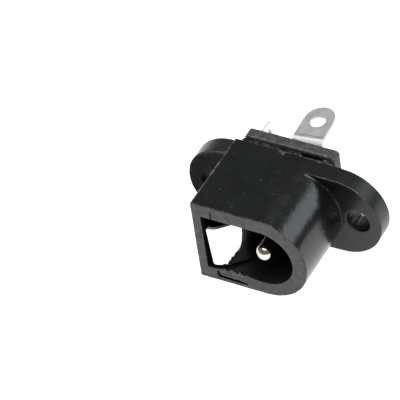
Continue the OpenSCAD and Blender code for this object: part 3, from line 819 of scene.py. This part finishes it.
for ins, dy in levels:
    y = Y_BOSS + dy
    k3 = xz(O[0], y)
    side = 1.0 if 0.0 < dy < depth else 0.0
    rough = np.clip(noise(k3 * [1, 0.55, 1], 0.34, 121) * 0.55 + noise(k3, 0.13, 122) * 0.45, -1, 1)
    nib = np.clip(noise(k3, 0.55, 123) - 0.35, 0, 1)
    d = ins + (0.005 + 0.05 * rough) * side + (0.10 * nib if dy < 0.06 else 0.03 * nib) + (0.012 * noise(k3, 0.3, 124) if not side else 0)
    rings.append(xz(O[0] - O[1] * np.clip(d, -0.04, None)[:, None], y + (0.012 * noise(k3, 0.3, 125) if side else 0)))
    wts.append(1.0 if side or dy == 0.0 else 0.55)
nb.rings(rings, wts)
s_in = as_hole(slot)
nb.rings([xz(slot[0], Y_BOSS), xz(slot[0], Y_BOARD)])
for y, ring in ((Y_BOSS, rings[0]), (Y_BOARD, rings[-1])):
    L = ring[:, [0, 2]]
    v, f = fill([L, slot[0]], hexgrid((-7.7, -5.2), (3.5, 5.2), 0.3), 0.13)
    p = xz(v, y)
    d = np.concatenate([np.linalg.norm(v[k:k + 2000, None] - L[None, ::2], axis=2).min(1) for k in range(0, len(v), 2000)])
    w = np.where(d < (0.45 if y < 4 else 0.02), 0.55 if y > 4 else 1.0, 0.0)
    if y > 4:
        p[:, 1] -= 0.01 * np.clip(noise(p, 0.8, 131) + 0.3, 0, 1) * np.clip((d - 0.1) / 0.4, 0, 1)
    nb.add(p, f, w)
board = nb.obj("laminate_board", "terminal_board", "board_laminate", LAMINATE, angle=50)


# ---------------------------------------------------------------- turned pin
def lathe(prof, seg, wob=None):
    """Solid of revolution about Y from (radius, y) points that start and end on the axis."""
    b = Build()
    a = np.arange(seg) / seg * 2 * math.pi
    rings = []
    for r, y in prof:
        rr = np.full(seg, max(r, 1e-6))
        if wob is not None:
            rr = rr + wob(a, r, y)
        rings.append(np.stack([rr * np.cos(a), np.full(seg, y), rr * np.sin(a)], 1))
    b.rings(rings)
    return b


Yt, rs, RR = 5.62, 0.24, 1.32
prof = [(1.0 * math.sin(math.radians(t)), -7.75 - 1.0 * math.cos(math.radians(t))) for t in np.arange(0.0, 90.1, 4.5)]
prof[0] = (0.0, -8.75)
prof += [(1.0, y) for y in np.arange(-7.3, 2.6, 0.55)] + [(1.0, 2.5), (1.02, 2.55), (1.74, 2.55), (1.8, 2.61), (1.8, 3.29), (1.76, 3.35), (1.08, 3.35), (1.05, 3.4), (1.05, 4.9), (1.1, 5.0), (1.545, 5.0), (1.55, 5.03), (1.51, 5.16), (1.43, 5.36), (1.35, 5.5)]
for t in np.arange(-20, 205, 12.5):
    prof.append((RR - rs + rs * math.cos(math.radians(t)), Yt + rs * math.sin(math.radians(t))))
prof += [(0.83, 5.5), (0.80, 5.2), (0.78, 4.6), (0.70, 4.1), (0.45, 3.75), (0.0, 3.6)]


def wob(a, r, y):
    if y < 4.95 or r < 0.5:
        return 0
    q = np.stack([np.cos(a) * r, np.full(len(a), y), np.sin(a) * r], 1)
    return (0.018 * noise(q, 0.5, 141) + 0.008 * noise(q, 0.2, 142)) * min(1, (y - 4.95) / 0.3)


pin = lathe(prof, 112, wob).obj("turned_pin", "centre_pin", "pin_metal", NICKEL, angle=50, weighted=False)


# ---------------------------------------------------------------- folded sheet parts
def trace(p, rr):
    """Dense arc-length table of a bent centre line: s, position, heading."""
    p = [np.array(q, float) for q in p]
    pos, ang = [p[0]], [math.atan2(*(p[1] - p[0])[::-1])]
    cur = p[0]
    for i in range(1, len(p) - 1):
        a, b = (p[i] - p[i - 1]), (p[i + 1] - p[i])
        a, b = a / np.linalg.norm(a), b / np.linalg.norm(b)
        w = math.acos(max(-1, min(1, a @ b)))
        s = np.sign(a[0] * b[1] - a[1] * b[0])
        back = rr[i] * math.tan(w / 2)
        q0 = p[i] - a * back
        L = np.linalg.norm(q0 - cur)
        n = max(1, int(L / 0.02))
        h = math.atan2(a[1], a[0])
        for k in range(1, n + 1):
            pos.append(cur + (q0 - cur) * k / n); ang.append(h)
        c = q0 + s * rr[i] * np.array([-a[1], a[0]])
        n = max(4, int(w * rr[i] / 0.01))
        for k in range(1, n + 1):
            t = w * k / n
            u = q0 - c
            ct, st = math.cos(s * t), math.sin(s * t)
            pos.append(c + np.array([u[0] * ct - u[1] * st, u[0] * st + u[1] * ct])); ang.append(h + s * t)
        cur = pos[-1]
    a = p[-1] - cur
    h = math.atan2(a[1], a[0])
    n = max(1, int(np.linalg.norm(a) / 0.02))
    base = cur
    for k in range(1, n + 1):
        pos.append(base + (p[-1] - base) * k / n); ang.append(h)
    pos, ang = np.array(pos), np.unwrap(np.array(ang))
    s = np.concatenate([[0], np.cumsum(np.linalg.norm(np.diff(pos, axis=0), axis=1))])
    return s, pos, ang


def grid_sw(tab, w0, w1, dw=0.22, flat=0.3, bend=0.05):
    """Grid points in (s, w): close together where the sheet is bent."""
    s, pos, ang = tab
    k = np.abs(np.gradient(ang, np.maximum(s, 0) + np.arange(len(s)) * 1e-9))
    cols, x = [], s[0]
    while x < s[-1]:
        cols.append(x)
        kk = np.interp(x, s, k)
        x += bend if kk > 0.25 else min(flat, max(bend, flat))
    ws = np.arange(w0, w1 + 1e-9, dw)
    g = np.array([(c, w) for c in cols for w in ws])
    return g


def sheet(name, node, mat, tab, loops, to3d, e=0.055, t=T, rough=0.012, w_edge=0.4, dw=0.22):
    """A sheet part: its flat outline (outer loop first, holes after) is cut, its edges rounded, and it is bent along tab."""
    s, pos, ang = tab

    def bent(q, h, lift=0.0):
        x = np.interp(q[:, 0], s, pos[:, 0]); y = np.interp(q[:, 0], s, pos[:, 1]); a = np.interp(q[:, 0], s, ang)
        out = q[:, 0] - np.clip(q[:, 0], s[0], s[-1])
        x, y = x + out * np.cos(a), y + out * np.sin(a)
        hh = h + lift
        return to3d(x - np.sin(a) * hh, y + np.cos(a) * hh, q[:, 1])

    b = Build()
    tops, bots = [], []
    for P, N in loops:
        q3 = np.stack([P[:, 0], P[:, 1], P[:, 0] * 0], 1)
        ee = e * (1 + 0.35 * noise(q3, 0.5, 151))
        rag = rough * noise(q3, 0.22, 152)
        rings = []
        for k in range(4):                       # rolled-over upper edge
            a = math.pi / 2 * k / 3
            rings.append(bent(P - N * (ee * (1 - math.sin(a)) + np.abs(rag) * 0.4)[:, None], t / 2 - ee * (1 - math.cos(a))))
        for hh in (0.1, -0.05, -0.13):
            rings.append(bent(P - N * (np.abs(rag))[:, None], np.full(len(P), hh)))
        for k in (1, 0):
            a = math.pi / 2 * k
            rings.append(bent(P - N * (0.02 * (1 - k) + np.abs(rag) * 0.5)[:, None], np.full(len(P), -t / 2 + 0.02 * k)))
        b.rings(rings, [0, 0.3, w_edge, w_edge, w_edge, w_edge, w_edge, w_edge, 0])
        tops.append(P - N * (ee + np.abs(rag) * 0.4)[:, None])
        bots.append(P - N * (0.02 + np.abs(rag) * 0.5)[:, None])
    g = grid_sw(tab, loops[0][0][:, 1].min(), loops[0][0][:, 1].max(), dw=dw)
    for L, hh in ((tops, t / 2), (bots, -t / 2)):
        v, f = fill(L, g, 0.04)
        b.add(bent(v, np.full(len(v), hh)), f, 0.0)
    return b.obj(name, node, "tag_metal", mat, angle=42)


def y_to_s(tab):
    s, pos, ang = tab
    y = pos[:, 1]
    o = np.argsort(y)
    return lambda v: float(np.interp(v, y[o], s[o]))


# sleeve spring: tag, shoulder, leaf, lip. Path in X and Y, width along Z
SPX = -7.6
y_end = Y_BOARD + 5.1
path = [(SPX, y_end + 0.01), (SPX, Y_BOARD + 0.16), (SPX - 0.13, Y_BOARD - 0.2), (SPX - 0.13, Y_BOSS - 0.25), (-6.8, FT - 0.35), (-2.3, -4.05), (-3.75, -6.2), (-5.85, FRONT + 0.5), (-6.75, FRONT + 0.43)]
tab = trace(path, [0, 0.5, 0.5, 0.5, 0.9, 1.5, 5.0, 1.4, 0])
ys_ = y_to_s(tab)
Z1, LW = LUG_Z, 1.48
send = tab[0][-1]
outline = [(0.0, Z1 + LW), (0.0, Z1 - LW), (ys_(4.40), Z1 - LW), (ys_(4.28), Z1 - 1.75), (ys_(2.3), Z1 - 1.75), (ys_(2.25), Z1 - LW), (ys_(1.2), Z1 - LW), (ys_(-1.4), LEAF0), (ys_(-4.8), LEAF0), (send - 0.3, -3.35), (send, LEAF1),
           (ys_(0.6), LEAF1), (ys_(1.2), Z1 + LW), (ys_(2.25), Z1 + LW), (ys_(2.3), Z1 + 1.75), (ys_(4.28), Z1 + 1.75), (ys_(4.40), Z1 + LW)]
rads = [LW * 0.999, LW * 0.999, 0.05, 0.06, 0.06, 0.02, 0.6, 0.8, 0.8, 0.35, 0.3, 0.3, 0.3, 0.02, 0.06, 0.06, 0.05]
outer = rounded(outline, rads, 0.1)
hole = circle((y_end - (y_end - 2.1), Z1), WIRE, 0.09, hole=True)


def turned(x, y, w):
    """The leaf's free end leans, its lower edge nearer the mouth than its upper one."""
    k = np.clip((-4.3 - y) / 1.7, 0, 1)
    d = 0.085 * k * k * (3 - 2 * k) * (LEAF1 - w) * (1 - 0.6 * np.clip((-7.8 - y) / 0.55, 0, 1))
    return np.stack([x + 0.66 * d, y - 0.75 * d, w], 1)


sheet("sleeve_leaf_spring", "sleeve_spring", TIN_BRIGHT, tab, [outer, hole], turned)

# switch contact: straight strip
y2 = Y_BOARD + 4.75
tab2 = trace([(SX, y2 + 0.01), (SX, 0.0), (SX, -2.13)], [0, 0.001, 0])
Z2 = -1.36
outer = rounded([(0.0, Z2 + LW), (0.0, Z2 - LW), (y2 + 2.13, Z2 - LW), (y2 + 2.13, Z2 + LW)], [LW * 0.999, LW * 0.999, 0.15, 0.15], 0.1)
hole = circle((y2 - (Y_BOARD + 2.5), Z2), WIRE, 0.09, hole=True)
sheet("switch_strip", "switch_contact", TIN, tab2, [outer, hole], lambda x, y, w: np.stack([x, y, w], 1))

# centre terminal: ring under the rivet and a tag folded up. Path in (Z, Y), width along X, turned about the pin
TW, LEAN, TURN = 3.8, 4.5, math.radians(7.4)
zf, yf = 5.38 - T / 2, Y_BOARD + T / 2
yt = Y_BOARD + 5.4
ztop = zf + (yt - yf) * math.tan(math.radians(LEAN))
tab3 = trace([(-2.6, yf), (zf, yf), (ztop, yt)], [0, 0.55, 0])
s_end = tab3[0][-1]
half = math.degrees(math.asin(TW / 2 / 2.55))
ringp = arc((2.6, 0), 2.55, half, 360 - half, 0.12)
zc = 2.55 * math.cos(math.radians(half)) + 2.6
# outline counter-clockwise in (s, w): along the lower side of the tag, round its end and back, then round the disc
sh_ = TW / 2 - 0.07
tagp = join(line((zc, -TW / 2), (s_end - sh_ - 0.12, -TW / 2), 0.12), line((s_end - sh_ - 0.12, -TW / 2), (s_end - sh_, -sh_), 0.05), arc((s_end - sh_, 0), sh_, -90, 90, 0.1),
            line((s_end - sh_, sh_), (s_end - sh_ - 0.12, TW / 2), 0.05), line((s_end - sh_ - 0.12, TW / 2), (zc, TW / 2), 0.12))
outer = join(ringp, tagp)
s_hole = float(np.interp(Y_BOARD + 3.2, tab3[1][:, 1][len(tab3[0]) // 2:], tab3[0][len(tab3[0]) // 2:]))
hole = circle((s_hole, 0), WIRE - 0.06, 0.09, hole=True)
cT, sT = math.cos(-TURN), math.sin(-TURN)
sheet("centre_tag", "centre_terminal", TIN, tab3, [outer, hole],
      lambda z, y, w: np.stack([w * cT + z * sT, y, -w * sT + z * cT], 1))

# ---------------------------------------------------------------- floor, lights
bpy.ops.mesh.primitive_plane_add(size=3, location=(0, 0, -HR * MM - 1e-5))
floor = bpy.context.object
floor.name = "floor"
fm = bpy.data.materials.new("floor"); fm.use_nodes = True
fb_ = fm.node_tree.nodes["Principled BSDF"]
fb_.inputs["Base Color"].default_value = (0.6, 0.6, 0.597, 1)
fb_.inputs["Roughness"].default_value = 0.9
fb_.inputs["Specular IOR Level"].default_value = 0.2
fb_.inputs["Emission Color"].default_value = (1, 1, 0.995, 1)
fb_.inputs["Emission Strength"].default_value = 1.08
floor.data.materials.append(fm)

# A dark card on the floor to the left, seen only by glossy rays: painted shade that darkens the floor's reflection in
# the left ear.
bpy.ops.mesh.primitive_plane_add(size=1, location=(-21.5 * MM, -4 * MM, -5.48 * MM))
shade_card = bpy.context.object
shade_card.name = "painted_floor_shade"
shade_card.scale = (20 * MM, 14.5 * MM, 1)
km = bpy.data.materials.new("painted_floor_shade"); km.use_nodes = True
km.node_tree.nodes["Principled BSDF"].inputs["Base Color"].default_value = (0.15, 0.15, 0.15, 1)
km.node_tree.nodes["Principled BSDF"].inputs["Roughness"].default_value = 0.9
shade_card.data.materials.append(km)
for k in ("visible_camera", "visible_shadow", "visible_diffuse", "visible_transmission"):
    setattr(shade_card, k, False)

wd = bpy.data.worlds.new("studio"); scene.world = wd
wd.use_nodes = True
nt = wd.node_tree
bg = nt.nodes["Background"]
lp = nt.nodes.new("ShaderNodeLightPath")
mr = nt.nodes.new("ShaderNodeMapRange")
nt.links.new(lp.outputs["Is Camera Ray"], mr.inputs["Value"])
mr.inputs["To Min"].default_value = 0.19
mr.inputs["To Max"].default_value = 1.0
nt.links.new(mr.outputs["Result"], bg.inputs["Strength"])
bg.inputs["Color"].default_value = (1, 1, 1, 1)


def softbox(name, az, el, dist, w, h, radiance, color=(1, 1, 1)):
    a, e = math.radians(az), math.radians(el)
    d = Vector((math.sin(a) * math.cos(e), -math.cos(a) * math.cos(e), math.sin(e)))
    L = bpy.data.lights.new(name, "AREA")
    L.shape = "RECTANGLE"
    L.size, L.size_y = w, h
    L.energy = radiance * math.pi * w * h
    L.color = color
    o = bpy.data.objects.new(name, L)
    scene.collection.objects.link(o)
    o.location = d * dist
    o.rotation_euler = d.to_track_quat("Z", "Y").to_euler()
    o.visible_camera = False
    return o


top = softbox("top_light", 0, 89.9, 0.55, 0.66, 0.66, 2.7)
top.data.shape = "DISK"
top.data.energy = 2.7 * math.pi * math.pi * 0.33 ** 2
win = softbox("back_light", 137, 30, 0.6, 0.46, 0.29, 2.5, (0.93, 1.0, 1.06))

scene.view_settings.view_transform = "Standard"
scene.view_settings.look = "None"
